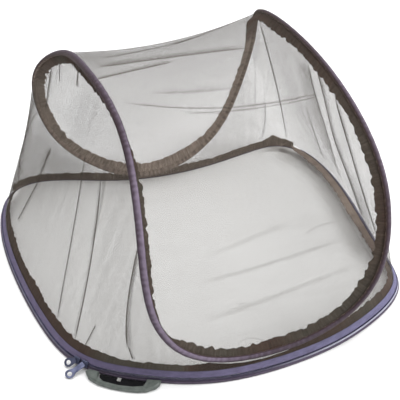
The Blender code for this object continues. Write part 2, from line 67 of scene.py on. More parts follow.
# The looks' own sizes, mm.
MAT_CLOTH_THICK = 0.8
CLOTH_THICK = 0.5
NET_GAP = 0.8  # from the canopy hoop's binding to the edge of each net
NET_THICK = 0.12
NET_PITCH = 1.35
NET_THREAD = 0.185
NET_TURN = 22.5  # degrees from the cloth's own length to its threads
NET_TINT = (0.09, 0.077, 0.065)
STATION_MM = 29.0  # about how far apart stations are
SEAM_TUCK = 1.2  # how far the canopy ruffle starts inside its binding
COIL_PITCH = 1.7
COIL_SLANT = 48.0  # degrees that the coil leans with the tape
LOWEST = 0.15  # no lower than this above the floor
# Points for each station, by what is made of them.
MAT_FINENESS = 4
EDGE_FINENESS = 16
NET_FINENESS = 18

# Centre line of the canopy hoop, round from the front by way of the right.
CANOPY_HOOP = (
    (1, -366, 32), (120, -359, 55), (196, -354, 146), (219, -293, 280), (202, -163, 379),
    (189, 5, 408), (191, 170, 381), (214, 260, 285), (190, 276, 166), (115, 244, 74),
    (-12, 225, 29), (-130, 243, 61), (-215, 267, 149), (-236, 255, 277), (-204, 157, 365),
    (-193, 3, 404), (-181, -164, 376), (-194, -294, 272), (-192, -350, 145), (-121, -360, 52),
)

# Line of the zip along the base hoop, the same way round.
BASE_HOOP = (
    (78, -367), (200, -328), (296, -256), (320, -140), (340, 24), (339, 177),
    (294, 266), (206, 265), (75, 241), (-73, 252), (-205, 298), (-297, 285),
    (-343, 176), (-350, 22), (-334, -136), (-294, -257), (-200, -330), (-76, -373),
)

# Soft folds in the wall nets: hoop station and foot station of the line, depth outward, half its width.
WALL_FOLDS = (
    (65.0, 70.0, 3.5, 1.1), (67.5, 72.4, -3.5, 1.2), (75.5, 78.2, 3.5, 1.1), (57.0, 54.6, 4.0, 1.2),
    (61.5, 63.0, -3.0, 1.3), (27.2, 30.8, 4.5, 1.2), (22.4, 24.6, -4.0, 1.1), (20.0, 23.0, 4.0, 1.1),
    (17.4, 21.4, -3.5, 1.1), (11.5, 13.5, 3.0, 1.2),
)

# Section of the base edge: place, distance outside the zip line, height.
BASE_SECTION = {
    "casing": (1.5, 2.8),
    "mat edge": (-1.6, 4.4),
    "lower tape foot": (2.3, 6.2),
    "lower tape top": (0.95, 8.25),
    "coil": (0.1, 9.4),
    "upper tape foot": (-0.8, 10.55),
    "upper tape top": (-6.5, 17.0),
    "net foot at zip": (-7.0, 17.9),
    "net foot at hinge": (-1.6, 7.4),
    "band foot at zip": (-8.4, 17.1),
    "band foot at hinge": (0.6, 7.4),
}
HINGE_LEAN = -2.0
HINGE_DROP = (1.0, 2.0)  # stations past the zip's end where the seam starts to drop, and over which it does
ZIP_FIRST = -30
ZIP_LAST = 29

# The base ruffle: base station, degrees in from upright, width.
BASE_RUFFLE = (
    (-30, 34, 16), (-18, 34, 18), (-12, 45, 14.5), (-8.5, 82, 14), (-5, 84, 14), (-2, 50, 15), (3, 34, 16),
    (11, 34, 16), (14, 66, 16), (17, 86, 16), (29, 86, 16),
)
# The ruffles' corners beside the hinge: base station, half width in stations, how much taller.
RUFFLE_PEAK = (29.9, 0.5)
HINGE_PEAK = (31.5, 0.6, 9.0)
# Ripples with whole turns round a hoop: how much, turns, phase.
BASE_WIDTH_WAVE = (1.3, 13, 0.4)
BASE_EDGE_WAVE = (1.2, 17, 1.1)
HOOP_WIDTH_WAVE = (1.3, 15, 0.9)
HOOP_EDGE_WAVE = (0.8, 19, 0.2)
# Uneven ripples round a hoop, added up: how much, about how many humps, seed.
RIPPLES = {
    "base binding's size": ((0.03, 160, 11),),
    "base binding's puckers": ((0.05, 420, 12),),
    "base binding's tone": ((0.1, 300, 13),),
    "tape": ((0.25, 60, 21),),
    "base ruffle's edge": ((1.2, 100, 31), (0.5, 240, 37)),
    "base ruffle": ((0.7, 230, 33), (0.35, 420, 34)),
    "hinge ruffle": ((0.6, 230, 35), (0.3, 420, 36)),
    "hoop binding's size": ((0.02, 120, 41),),
    "hoop binding's puckers": ((0.5, 300, 42),),
    "hoop binding's tone": ((0.06, 260, 43),),
    "hoop ruffle's edge": ((1.7, 105, 44), (0.8, 260, 47)),
    "hoop ruffle": ((0.7, 260, 45), (0.4, 460, 46)),
    "wall nets' edges": ((0.35, 70, 51),),
    "wall nets' tone": ((0.008, 90, 52),),
    "roof net's tone": ((0.006, 60, 53),),
}
# The canopy ruffle: hoop station, degrees in from the roof net, width. The front left foot tucks it away.
CANOPY_RUFFLE = (
    (0, 32, 14.5), (10, 20, 16), (16, 66, 16), (23, 60, 16), (28, 16, 19), (33, 20, 17), (38, 28, 17),
    (41.5, 32, 25), (46, 28, 17), (53, 20, 16), (57, 66, 17), (61, 103, 17), (66, 103, 14), (70, 20, 11),
    (75, 20, 11), (76.3, 24, 7), (77.4, 25, 2.5), (78.3, 26, 4), (79.2, 28, 13), (84, 32, 14.5),
)
# How pale the cloths of the base edge are, round from the back left: base station, ruffle, tape, lower tape.
# Paler towards the right and darker towards the left: painted light and shade, as if lit from the right.
SIDE_TONES = (
    (-30, 0.35, 0.15, 0.3), (-16, 0.3, 0.1, 0.3), (-12, 0.28, 0.15, 0.1), (-10, 0.45, 0.2, 0.05),
    (-5.5, 0.45, 0.35, 0.0), (-4, 0.08, 0.4, 0.0), (-2, 0.05, 0.4, 0.0), (0, 0.2, 0.5, 0.1),
    (5, 0.3, 0.85, 0.9),
    (12, 0.7, 1.0, 1.0), (20, 0.92, 1.0, 1.0), (29, 0.85, 0.8, 1.0),
)
# The canopy binding is painted darker on faces turned away from this way: painted shade.
LIGHT_WAY = (0.8, -0.2, 0.55)  # towards the light
# Round the canopy hoop: hoop station, how pale the ruffle is, how dark the binding is.
HOOP_TONES = (
    (0, 0.25, 0.28), (2.5, 0.5, 0.3), (10, 0.3, 0.3), (13, 0.4, 0.25), (17, 0.35, 0.2), (20, 0.12, 0.3),
    (29, 0.3, 0.3), (31, 0.95, 0.3), (36, 0.86, 0.3), (39, 0.9, 0.3), (43, 0.96, 0.3), (53, 1.0, 0.25),
    (56.5, 0.55, 0.25), (60, 0.15, 0.3), (68, 0.2, 0.28), (71, 0.5, 0.05), (76, 0.55, 0.0), (81, 0.5, 0.05),
    (84, 0.25, 0.28),
)

# Narrow folds: start station and share, end station and share, bend in stations, half width of the dark line,
# how much it narrows, width of its soft side, the side that is on, and how much it thickens the net.
WALL_LINES = (
    (57.0, 0.07, 57.9, 0.30, 0.0, 3.5, 0.3, 9, 1, 0.42),
    (57.8, 0.00, 59.0, 0.14, 0.0, 2.0, 0.0, 5, 1, 0.32),
    (61.2, -0.05, 61.9, 0.09, 0.0, 4.0, 0.4, 6, 1, 0.42),
    (55.4, 0.20, 52.1, 0.98, 0.0, 2.0, 0.0, 10, -1, 0.28),
    (57.0, 0.28, 51.5, 0.88, 0.0, 2.0, 0.0, 5, 1, 0.28),
    (49.4, 0.30, 50.3, 0.92, 0.0, 2.5, 0.0, 7, 1, 0.20),
    (60.8, 0.58, 59.5, 0.88, 0.0, 2.5, 0.0, 10, 1, 0.28),
    (65.2, 0.24, 69.3, 0.97, 0.0, 1.4, 0.0, 5, 1, 0.50),
    (67.3, 0.22, 71.4, 0.97, 0.45, 1.5, 0.0, 6, -1, 0.56),
    (67.3, 0.16, 69.0, 0.50, 0.2, 6.0, 0.6, 8, -1, 0.12),
    (72.3, 0.76, 72.2, 0.97, 0.0, 1.3, 0.0, 4, 1, 0.40),
    (73.0, -0.02, 75.1, 0.78, 0.0, 1.6, 0.0, 12, 1, 0.55),
    (75.1, 0.74, 75.6, 0.88, 0.0, 1.4, 0.0, 5, 1, 0.45),
    (27.9, 0.00, 30.2, 0.98, 0.25, 5.5, 0.85, 2, 1, 0.30),
    (21.0, 0.10, 20.9, 0.90, 0.6, 2.6, 0.0, 40, 1, 0.34),
    (20.0, 0.06, 18.0, 0.97, 0.3, 2.8, 0.0, 19, -1, 0.42),
    (17.8, 0.10, 15.0, 0.90, 0.3, 3.2, 0.0, 13, -1, 0.46),
    (23.4, 0.45, 24.7, 0.92, 0.0, 2.0, 0.0, 8, 1, 0.16),
    (31.7, 0.00, 32.8, 0.52, 0.0, 2.0, 0.0, 4, 1, 0.14),
    (31.4, 0.45, 32.6, 0.95, -0.2, 2.0, 0.0, 9, 1, 0.14),
    (9.4, 0.35, 11.2, 0.99, 0.0, 3.0, 0.0, 12, 1, 0.28),
    (12.4, 0.45, 12.7, 0.99, 0.0, 2.5, 0.0, 8, -1, 0.22),
)
ROOF_LINES = (
    (26.6, 0.04, 27.2, 0.98, -0.7, 2.2, 0.0, 6, -1, 0.42),
    (24.6, 0.48, 26.8, 0.95, 0.0, 1.8, 0.0, 6, 1, 0.42),
    (23.2, 0.10, 25.4, 0.66, 0.2, 1.6, 0.0, 5, 1, 0.26),
    (21.6, 0.02, 21.6, 0.80, 0.9, 1.8, 0.0, 14, 1, 0.42),
    (20.1, -0.03, 21.9, 0.42, 0.2, 1.7, 0.0, 8, 1, 0.42),
    (18.3, 0.03, 16.8, 0.92, -0.35, 1.4, 0.0, 3, 1, 0.24),
    (17.2, 0.28, 16.6, 0.92, -0.10, 1.4, 0.0, 3, 1, 0.18),
    (18.9, 0.20, 18.4, 0.62, 0.0, 3.0, 0.0, 9, 1, 0.10),
)
# Soft places where the net is drawn together: station, half width in stations, share, half width, how much.
WALL_PATCHES = (
    (25.0, 2.2, 0.62, 0.35, 0.05), (17.2, 1.5, 0.85, 0.22, 0.08), (22.5, 3.0, 0.1, 0.22, 0.01),
    (51.5, 4.0, 0.6, 0.6, 0.2), (63.5, 2.0, 0.1, 0.25, 0.04),
)
ROOF_PATCHES = ((23.5, 2.0, 0.05, 0.12, 0.05), (34.0, 2.5, 0.4, 0.4, 0.05))
WALL_THINNER = 0.015  # how much thinner the wall nets' threads are than the roof net's
# Creases in the mat, with painted shade along them: start x, y, end x, y, bend, half width, depth of the
# painted shade and of the crease. Millimetres on the floor.
MAT_CREASES = (
    (-60, -124, 290, -84, -6, 9, 0.7), (60, -117, 150, -101, -2, 3, 1.0),
    (-80, -226, 270, -166, -4, 10, 0.62), (2, -197, 44, -217, 1, 2.5, 0.95),
    (206, -171, 242, -185, 1, 2.5, 0.8), (200, -56, 295, -34, 12, 6, 0.55),
    (-20, -56, 205, 4, -3, 12, 0.48), (-32, -298, 18, -318, 16, 3, 1.0),
)
# The mat's shaded rim along the right: how grey, where it comes in and goes out and over how many base
# stations, the bright strip beside the seam and how the grey fades, both in mm.
RIM_GREY = 0.42
RIM_SPAN = (13, 3, 31.5, 2)
RIM_STRIP = (20.5, 1.5)
RIM_FADE = (36.0, 22.0)
# MAT_CORNER is painted shade in the mat's back right corner, beside the seam.
MAT_CORNER = (30.5, 1.6, 0.75)  # the dark back right corner: base station, half width in stations, how dark

# One loop of the zip's coil, as three rings of four points: along the zip, up the tape's slope, out from it.
COIL_LOOP = tuple(
    (side * along, rise * up, out)
    for along, up, out in ((0.62, 1.3, -1.0), (0.42, 1.0, 0.75), (0.15, 0.75, 1.15))
    for side, rise in ((-1, -1), (-1, 1), (1, 1), (1, -1))
)

# Tones, round from the outer face to the lining, as place on the ramp and colour.
BINDING_TONES = (
    (0.0, (0.2, 0.16, 0.22)), (0.3, (0.07, 0.05, 0.068)), (0.55, (0.036, 0.021, 0.027)),
    (0.85, (0.07, 0.046, 0.038)), (1.0, (0.27, 0.215, 0.18)),
)
BASE_BINDING_TONES = ((0.0, (0.1, 0.08, 0.12)), (1.0, (0.025, 0.014, 0.024)))
TAPE_TONES = ((0.0, (0.115, 0.093, 0.16)), (1.0, (0.17, 0.163, 0.275)))
PIPING_TONES = ((0.0, (0.05, 0.04, 0.07)), (1.0, (0.5, 0.5, 0.6)))
RUFFLE_TONES = (
    (0.0, (0.028, 0.016, 0.014)), (0.3, (0.08, 0.048, 0.037)), (0.45, (0.09, 0.082, 0.066)),
    (0.6, (0.118, 0.08, 0.067)), (0.8, (0.175, 0.135, 0.115)), (1.0, (0.33, 0.27, 0.225)),
)
MAT_LIGHT = (0.93, 0.93, 0.92)
MAT_DULL = (0.87, 0.87, 0.86)
# MAT_GREY is the colour of the mat's painted shade, in its creases and at its rim.
MAT_GREY = (0.3, 0.29, 0.28)
FLOOR_HALF = 12.0  # metres
FLOOR_TONE = (0.96, 0.96, 0.96)
SKY_STRENGTH = 0.68
# Soft lamps: name, place, size, watts.
LAMPS = (("overhead", (0.1, 0.2, 2.6), 2.4, 60.0), ("front_right", (1.9, -1.5, 1.5), 1.2, 38.0))


def around(table, column, station):
    """One column of a table whose rows start with a station, at each of these stations."""
    return np.interp(station, [row[0] for row in table], [row[column] for row in table])


def uneven(count, name):
    """The uneven ripples of one row of the table, round a loop of this many points."""
    return sum(amount * loop_noise(count, humps, seed) for amount, humps, seed in RIPPLES[name])


def bell(station, middle, half):
    """A soft hump of 1 at one station."""
    return np.exp(-(((station - middle) / half) ** 2))


def unit(vectors):
    return vectors / np.linalg.norm(vectors, axis=-1, keepdims=True)


def spread(fine, count, start):
    """count evenly spaced points along the closed polyline, from its point number start."""
    fine = np.roll(fine, -start, 0)
    closed = np.vstack([fine, fine[:1]])
    along = np.concatenate([[0.0], np.cumsum(np.linalg.norm(np.diff(closed, axis=0), axis=1))])
    places = np.arange(count) * along[-1] / count
    return np.stack([np.interp(places, along, column) for column in closed.T], 1)


def smooth_loop(stations, count, each=240):
    """A smooth closed curve through the stations, as count points evenly spaced along it."""
    points = np.array(stations, float)
    size = len(points)
    matrix = 4.0 * np.eye(size) + np.roll(np.eye(size), 1, 1) + np.roll(np.eye(size), -1, 1)
    slopes = np.linalg.solve(matrix, 3.0 * (np.roll(points, -1, 0) - np.roll(points, 1, 0)))
    t = np.linspace(0.0, 1.0, each, endpoint=False)[None, :, None]
    ends = np.roll(points, -1, 0)[:, None, :]
    end_slopes = np.roll(slopes, -1, 0)[:, None, :]
    fine = (
        points[:, None, :] * (2 * t**3 - 3 * t**2 + 1)
        + slopes[:, None, :] * (t**3 - 2 * t**2 + t)
        + ends * (3 * t**2 - 2 * t**3)
        + end_slopes * (t**3 - t**2)
    ).reshape(-1, points.shape[1])
    return spread(fine, count, 0)


def tangents(loop):
    return unit(np.roll(loop, -1, 0) - np.roll(loop, 1, 0))


def across(vectors, axis):
    """The unit part of each vector that is square to the axis."""
    return unit(vectors - (vectors * axis).sum(-1, keepdims=True) * axis)


def turned(vectors, axis, degrees):
    angle = np.radians(degrees)
    return vectors * np.cos(angle) + np.cross(axis, vectors) * np.sin(angle)


def wave(count, amount, turns, phase):
    """A ripple with whole turns round the loop, in mm."""
    angle = np.arange(count) * 2 * np.pi / count
    broad = np.sin(turns * angle + phase)
    return amount * (0.6 * broad + 0.4 * np.sin(int(1.7 * turns) * angle + 2.0 * phase))


def loop_noise(count, turns, seed):
    """Smooth random values of about -1 to 1 round a loop, with about this many humps."""
    draw = np.random.default_rng(seed)
    angle = np.arange(count) * 2 * np.pi / count
    total = np.zeros(count)
    for part in range(7):
        cycles = int(turns * (0.55 + 0.15 * part)) + 1
        total += draw.uniform(0.5, 1.0) * np.sin(cycles * angle + draw.uniform(0, 2 * np.pi))
    return total / 2.4


def ground_noise(x, y, size, seed):
    """Smooth random values of about -1 to 1 over the plane, with humps of about this size in mm."""
    draw = np.random.default_rng(seed)
    total = np.zeros(np.shape(x))
    for _ in range(14):
        way = draw.uniform(0, 2 * np.pi)
        cycles = 2 * np.pi / (size * draw.uniform(0.7, 1.8))
        total += np.sin((x * np.cos(way) + y * np.sin(way)) * cycles + draw.uniform(0, 2 * np.pi))
    return total / 5.0


class BaseLine:
    """The base hoop's zip line at some points a station, with offsets outward and up."""

    def __init__(self, fineness):
        self.fineness = fineness
        self.count = STATIONS * fineness
        fine = smooth_loop(BASE_HOOP, 5760)
        front = int(np.argmin(np.abs(fine[:, 0]) + np.where(fine[:, 1] < 0, 0, 1e6)))
        self.loop = spread(fine, self.count, front)
        heading = tangents(self.loop)
        self.out = np.stack([heading[:, 1], -heading[:, 0]], 1)
        self.station = np.arange(self.count) / fineness

    def offset(self, outward, height):
        outward = np.broadcast_to(outward, self.count)
        height = np.broadcast_to(height, self.count)
        return np.column_stack([self.loop + self.out * outward[:, None], height])

    def hinge_share(self):
        past = np.minimum(self.station - ZIP_LAST, ZIP_FIRST + STATIONS - self.station)
        ramp = np.clip((past - HINGE_DROP[0]) / HINGE_DROP[1], 0.0, 1.0)
        return ramp * ramp * (3.0 - 2.0 * ramp)

    def net_feet(self):
        share = self.hinge_share()
        zipped = np.array(BASE_SECTION["net foot at zip"])
        hinged = np.array(BASE_SECTION["net foot at hinge"])
        spot = zipped[:, None] * (1 - share) + hinged[:, None] * share
        return self.offset(spot[0], spot[1])

    def zipped(self, before=0.0, after=0.0):
        """Point numbers along the zip, round by the front."""
        first = int(round((ZIP_FIRST - before) * self.fineness))
        last = int(round((ZIP_LAST + after) * self.fineness))
        return np.arange(first, last + 1) % self.count


class CanopyLine:
    """The canopy hoop's centre line, with the ways its panels and ruffle leave it."""

    def __init__(self, base):
        fineness = base.fineness
        self.count = STATIONS * fineness
        feet = base.net_feet()
        self.loop = smooth_loop(CANOPY_HOOP, self.count)
        self.along = tangents(self.loop)
        self.half = self.count // 2
        self.mirror = -np.arange(self.count) % self.count
        middle = (self.loop + self.loop[self.mirror]) / 2
        row = np.minimum(np.arange(self.count), self.mirror)
        ahead = row + AIM_AHEAD * fineness * np.cos(np.pi * row / self.half)
        spots = np.arange(self.half + 1)
        aim = np.stack([np.interp(ahead, spots, c) for c in middle[: self.half + 1].T], 1)
        self.to_roof = across(aim - self.loop, self.along)
        self.to_wall = across(feet - self.loop, self.along)
        self.outward = -across(np.array(HOOP_MIDDLE) - self.loop, self.along)
        self.flat = np.cross(self.along, self.outward)
        sense = (np.cross(self.along, self.to_roof) * -self.outward).sum(1)
        self.inward = np.sign(sense)[:, None]
        self.station = np.arange(self.count) / fineness

    def radius(self, way):
        wide = (way * self.flat).sum(1) / (CASING_WIDE / 2)
        deep = (way * self.outward).sum(1) / (CASING_DEEP / 2)
        return 1.0 / np.hypot(wide, deep)

    def edge(self, way, gap):
        return self.loop + way * (self.radius(way) + gap)[:, None]


def make_piece(name, points, faces, finish, nodes=(), shares=None, smooth=True):
    """A mesh piece from points in mm. shares holds named point values."""
    mesh = bpy.data.meshes.new(name)
    mesh.from_pydata((np.asarray(points) * MM).tolist(), [], np.asarray(faces).tolist())
    for key, values in (shares or {}).items():
        field = mesh.attributes.new(key, "FLOAT", "POINT")
        field.data.foreach_set("value", np.asarray(values, np.float32).ravel())
    if smooth:
        mesh.shade_smooth()
    mesh.materials.append(finish)
    made = bpy.data.objects.new(name, mesh)
    bpy.context.scene.collection.objects.link(made)
    if nodes:
        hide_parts(*nodes)
    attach(made, "root")
    return made


def grid_faces(high, wide, closed_wide=False, closed_high=False):
    """Quads over a high by wide grid of points, row after row."""
    rows = np.arange(high if closed_high else high - 1)
    columns = np.arange(wide if closed_wide else wide - 1)
    i, j = np.meshgrid(rows, columns, indexing="ij")
    a = i * wide + j
    b = i * wide + (j + 1) % wide
    c = ((i + 1) % high) * wide + (j + 1) % wide
    d = ((i + 1) % high) * wide + j
    return np.stack([a, b, c, d], -1).reshape(-1, 4)


def run_lengths(rows, axis):
    """Distance in metres along the rows or columns of a grid, from the middle of the other way."""
    middle = rows[rows.shape[0] // 2] if axis == 1 else rows[:, rows.shape[1] // 2]
    steps = np.linalg.norm(np.diff(middle, axis=0), axis=1)
    return np.concatenate([[0.0], np.cumsum(steps)]) * MM


def make_grid(name, rows, finish, nodes, closed_wide, closed_high, shares):
    """A grid of points as one mesh, mapped by the distance along it both ways."""
    rows = np.asarray(rows, float)
    high, wide = rows.shape[:2]
    looped = np.concatenate([rows, rows[:, :1]], 1) if closed_wide else rows
    looped = np.concatenate([looped, looped[:1]], 0) if closed_high else looped
    u = run_lengths(looped, 1)
    v = run_lengths(looped, 0)
    faces = grid_faces(high, wide, closed_wide, closed_high)
    made = make_piece(name, rows.reshape(-1, 3), faces, finish, nodes, shares)
    i, j = np.meshgrid(np.arange(len(v) - 1), np.arange(len(u) - 1), indexing="ij")
    corners = [np.stack([u[j + dj], v[i + di]], -1) for di, dj in ((0, 0), (0, 1), (1, 1), (1, 0))]
    layer = made.data.uv_layers.new(name="cloth")
    layer.data.foreach_set("uv", np.stack(corners, 2).astype(np.float32).ravel())
    return made


def make_sheet(name, rows, finish, nodes=(), closed=False, thick=CLOTH_THICK, shares=None):
    """A sheet through rows of points: rows[i][j] is point j of row i."""
    made = make_grid(name, rows, finish, nodes, closed, False, shares)
    solid = made.modifiers.new("thickness", "SOLIDIFY")
    solid.thickness = thick * MM
    solid.offset = 0.0
    return made


def tube(name, sections, finish, nodes, shares=None):
    """A closed bar round a closed line: sections[side][k] is a point of the bar at station k."""
    return make_grid(name, sections, finish, nodes, True, True, shares)


def patch_field(station, share, table):
    """How much the soft patches of a table thicken the net at each place."""
    gather = np.zeros(np.broadcast_shapes(station.shape, share.shape))
    for t, wide, s, high, strength in table:
        gather += strength * np.exp(-(((station - t) / wide) ** 2) - ((share - s) / high) ** 2)
    return gather


def grid_area(rows):
    """Area of a grid in square metres."""
    rows = np.asarray(rows, float)
    a = rows[1:, :-1] - rows[:-1, :-1]
    b = rows[:-1, 1:] - rows[:-1, :-1]
    c = rows[1:, :-1] - rows[1:, 1:]
    d = rows[:-1, 1:] - rows[1:, 1:]
    first = np.linalg.norm(np.cross(a, b), axis=-1).sum()
    second = np.linalg.norm(np.cross(c, d), axis=-1).sum()
    return (first + second) / 2 * MM * MM


# Materials


def add(tree, kind, inputs=None, **settings):
    """One shader node: an input takes another node's output or a plain value."""
    node = tree.nodes.new("ShaderNode" + kind)
    for key, value in settings.items():
        setattr(node, key, value)
    for key, value in (inputs or {}).items():
        socket = node.inputs[key]
        if isinstance(value, bpy.types.NodeSocket):
            tree.links.new(value, socket)
        else:
            socket.default_value = value
    return node


def new_material(name):
    made = bpy.data.materials.new(name)
    made.use_nodes = True
    tree = made.node_tree
    return made, tree, tree.nodes["Principled BSDF"]


def scaled(tree, vector, sizes, turn=0.0):
    return add(tree, "Mapping", {"Vector": vector, "Scale": sizes, "Rotation": (0, 0, turn)}).outputs[0]


def noise(tree, vector, scale, detail=3.0, rough=0.55):
    inputs = {"Vector": vector, "Scale": scale, "Detail": detail, "Roughness": rough}
    return add(tree, "TexNoise", inputs).outputs[0]


def ramp(tree, value, low, high, first, last):
    """A colour that goes from first to last as the value goes from low to high."""
    made = add(tree, "ValToRGB", {"Fac": value})
    made.color_ramp.elements[0].position = low
    made.color_ramp.elements[0].color = first
    made.color_ramp.elements[1].position = high
    made.color_ramp.elements[1].color = last
    return made.outputs[0]


def mix(tree, share, first, last):
    return add(tree, "Mix", {0: share, 6: first, 7: last}, data_type="RGBA").outputs[2]


def maths(tree, operation, first, last=0.0):
    made = add(tree, "Math", {0: first, 1: last}, operation=operation)
    return made.outputs[0]


def fade(tree, value, low, high, first, last):
    """A soft step from one value to another, as the input goes from low to high."""
    inputs = {0: value, 1: low, 2: high, 3: first, 4: last}
    return add(tree, "MapRange", inputs, interpolation_type="SMOOTHSTEP").outputs[0]


def ribs(tree, vector, pitch, axis):
    """Rounded ribs 0 to 1 across one axis of the cloth's own map, this far apart in mm."""
    part = add(tree, "SeparateXYZ", {0: vector}).outputs[axis]
    angle = maths(tree, "MULTIPLY", part, 2 * math.pi / (pitch * MM))
    return maths(tree, "MULTIPLY_ADD", maths(tree, "SINE", angle), 0.5)


def weave(tree, vector, pitch):
    """A plain weave of this pitch in mm, 0 to 1."""
    over = ribs(tree, vector, pitch, 0)
    under = ribs(tree, vector, pitch, 1)
    return maths(tree, "MULTIPLY", over, under)


def bump(tree, shader, height, depth, strength=1.0):
    made = add(tree, "Bump", {"Height": height, "Distance": depth * MM, "Strength": strength})
    tree.links.new(made.outputs[0], shader.inputs["Normal"])


def cloth_map(tree):
    return add(tree, "UVMap", uv_map="cloth").outputs[0]


def colour(red, green, blue):
    return (red, green, blue, 1.0)


def fold_line(tree, station, share, row):
    """How much one narrow fold thickens the net: a dark line, with a softer side to it."""
    t0, s0, t1, s1, bend, core, taper, soft, side, strength = row
    x = maths(tree, "MULTIPLY", maths(tree, "SUBTRACT", share, s0), 1.0 / (s1 - s0))
    inside = add(tree, "Clamp", {0: x}).outputs[0]
    hump = maths(tree, "MULTIPLY", inside, maths(tree, "SUBTRACT", 1.0, inside))
    line = maths(tree, "ADD", maths(tree, "MULTIPLY", x, t1 - t0), t0)
    line = maths(tree, "ADD", line, maths(tree, "MULTIPLY", hump, 4.0 * bend))
    away = maths(tree, "MULTIPLY", maths(tree, "SUBTRACT", station, line), STATION_MM * side)
    half = maths(tree, "SUBTRACT", core, maths(tree, "MULTIPLY", inside, core * taper))
    near = maths(tree, "DIVIDE", maths(tree, "ABSOLUTE", away), half)
    dark = fade(tree, near, 0.6, 1.4, 1.0, 0.0)
    pale = fade(tree, away, 0.0, 1.6 * soft, 0.4, 0.0)
    pale = maths(tree, "MULTIPLY", pale, maths(tree, "GREATER_THAN", away, 0.0))
    ends = fade(tree, hump, 0.0, 0.12, 0.0, strength)
    return maths(tree, "MULTIPLY", maths(tree, "MAXIMUM", dark, pale), ends)


def net_material(name, lines):
    """Fine net: square holes between threads, which thicken by the point value gather and at the folds."""
    made, tree, shader = new_material(name)
    station = add(tree, "Attribute", attribute_name="station").outputs["Fac"]
    share = add(tree, "Attribute", attribute_name="share").outputs["Fac"]
    place = scaled(tree, cloth_map(tree), (1 / (NET_PITCH * MM),) * 2 + (1,), math.radians(NET_TURN))
    cell = add(tree, "VectorMath", {0: place}, operation="FRACTION").outputs[0]
    cell = add(tree, "VectorMath", {0: cell, 1: (0.5, 0.5, 0.5)}, operation="SUBTRACT").outputs[0]
    cell = add(tree, "VectorMath", {0: cell}, operation="ABSOLUTE").outputs[0]
    parts = add(tree, "SeparateXYZ", {0: cell})
    near = maths(tree, "MAXIMUM", parts.outputs[0], parts.outputs[1])
    gather = add(tree, "Attribute", attribute_name="gather").outputs["Fac"]
    for row in lines:
        gather = maths(tree, "ADD", gather, fold_line(tree, station, share, row))
    hole = maths(tree, "SUBTRACT", 0.5 - 0.5 * NET_THREAD / NET_PITCH, maths(tree, "MULTIPLY", gather, 0.5))
    mask = maths(tree, "GREATER_THAN", near, hole)
    tree.links.new(mask, shader.inputs["Alpha"])
    patch = noise(tree, add(tree, "TexCoord").outputs["Object"], 9.0)
    dark = [0.82 * part for part in NET_TINT]
    tree.links.new(mix(tree, patch, colour(*NET_TINT), colour(*dark)), shader.inputs["Base Color"])
    shader.inputs["Roughness"].default_value = 0.9
    shader.inputs["Specular IOR Level"].default_value = 0.05
    return made


def stops(tree, value, tones):
    """A colour ramp through rows of position and colour."""
    made = add(tree, "ValToRGB", {"Fac": value})
    elements = made.color_ramp.elements
    for element, (place, tone) in zip((elements[0], elements[1]), (tones[0], tones[-1])):
        element.position = place
        element.color = colour(*tone)
    for place, tone in tones[1:-1]:
        elements.new(place).color = colour(*tone)
    return made.outputs[0]


def shaded(tree, tone, value, low, high):
    """The tone made darker or paler by a value from 0 to 1."""
    scale = add(tree, "MapRange", {0: value, 1: 0.25, 2: 0.75, 3: low, 4: high}).outputs[0]
    return add(tree, "VectorMath", {0: tone, "Scale": scale}, operation="SCALE").outputs[0]


def gathered_material(name, tones):
    """Several layers of net gathered into a band: streaks run across it from the seam."""
    made, tree, shader = new_material(name)
    shader.inputs["Specular IOR Level"].default_value = 0.12
    own = cloth_map(tree)
    face = add(tree, "Attribute", attribute_name="face").outputs["Fac"]
    streaks = noise(tree, scaled(tree, own, (300, 26, 1)), 1.0, 4.0, 0.65)
    patches = noise(tree, scaled(tree, own, (26, 40, 1)), 1.0, 2.0)
    tone = stops(tree, face, tones)
    tone = shaded(tree, tone, streaks, 0.5, 1.4)
    tone = shaded(tree, tone, patches, 0.75, 1.2)
    cell = weave(tree, own, 1.3)
    tone = shaded(tree, tone, cell, 1.1, 0.8)
    tree.links.new(tone, shader.inputs["Base Color"])
    bump(tree, shader, maths(tree, "ADD", streaks, maths(tree, "MULTIPLY", cell, 0.2)), 1.0, 0.7)
    shader.inputs["Roughness"].default_value = 0.9
    shader.inputs["Sheen Weight"].default_value = 0.03
    return made


def woven_material(name, tones, rib):
    """Woven tape with ribs across it. The point value face picks its tone."""
    made, tree, shader = new_material(name)
    shader.inputs["Specular IOR Level"].default_value = 0.2
    own = cloth_map(tree)
    face = add(tree, "Attribute", attribute_name="face").outputs["Fac"]
    lines = ribs(tree, own, rib, 0)
    mottle = noise(tree, scaled(tree, own, (60, 160, 1)), 1.0, 4.0, 0.6)
    tone = shaded(tree, stops(tree, face, tones), mottle, 0.75, 1.2)
    tone = shaded(tree, tone, lines, 0.8, 1.1)
    tree.links.new(tone, shader.inputs["Base Color"])
    height = maths(tree, "ADD", maths(tree, "MULTIPLY", lines, 0.4), mottle)
    bump(tree, shader, height, 0.5, 0.6)
    shader.inputs["Roughness"].default_value = 0.75
    shader.inputs["Sheen Weight"].default_value = 0.05
    return made


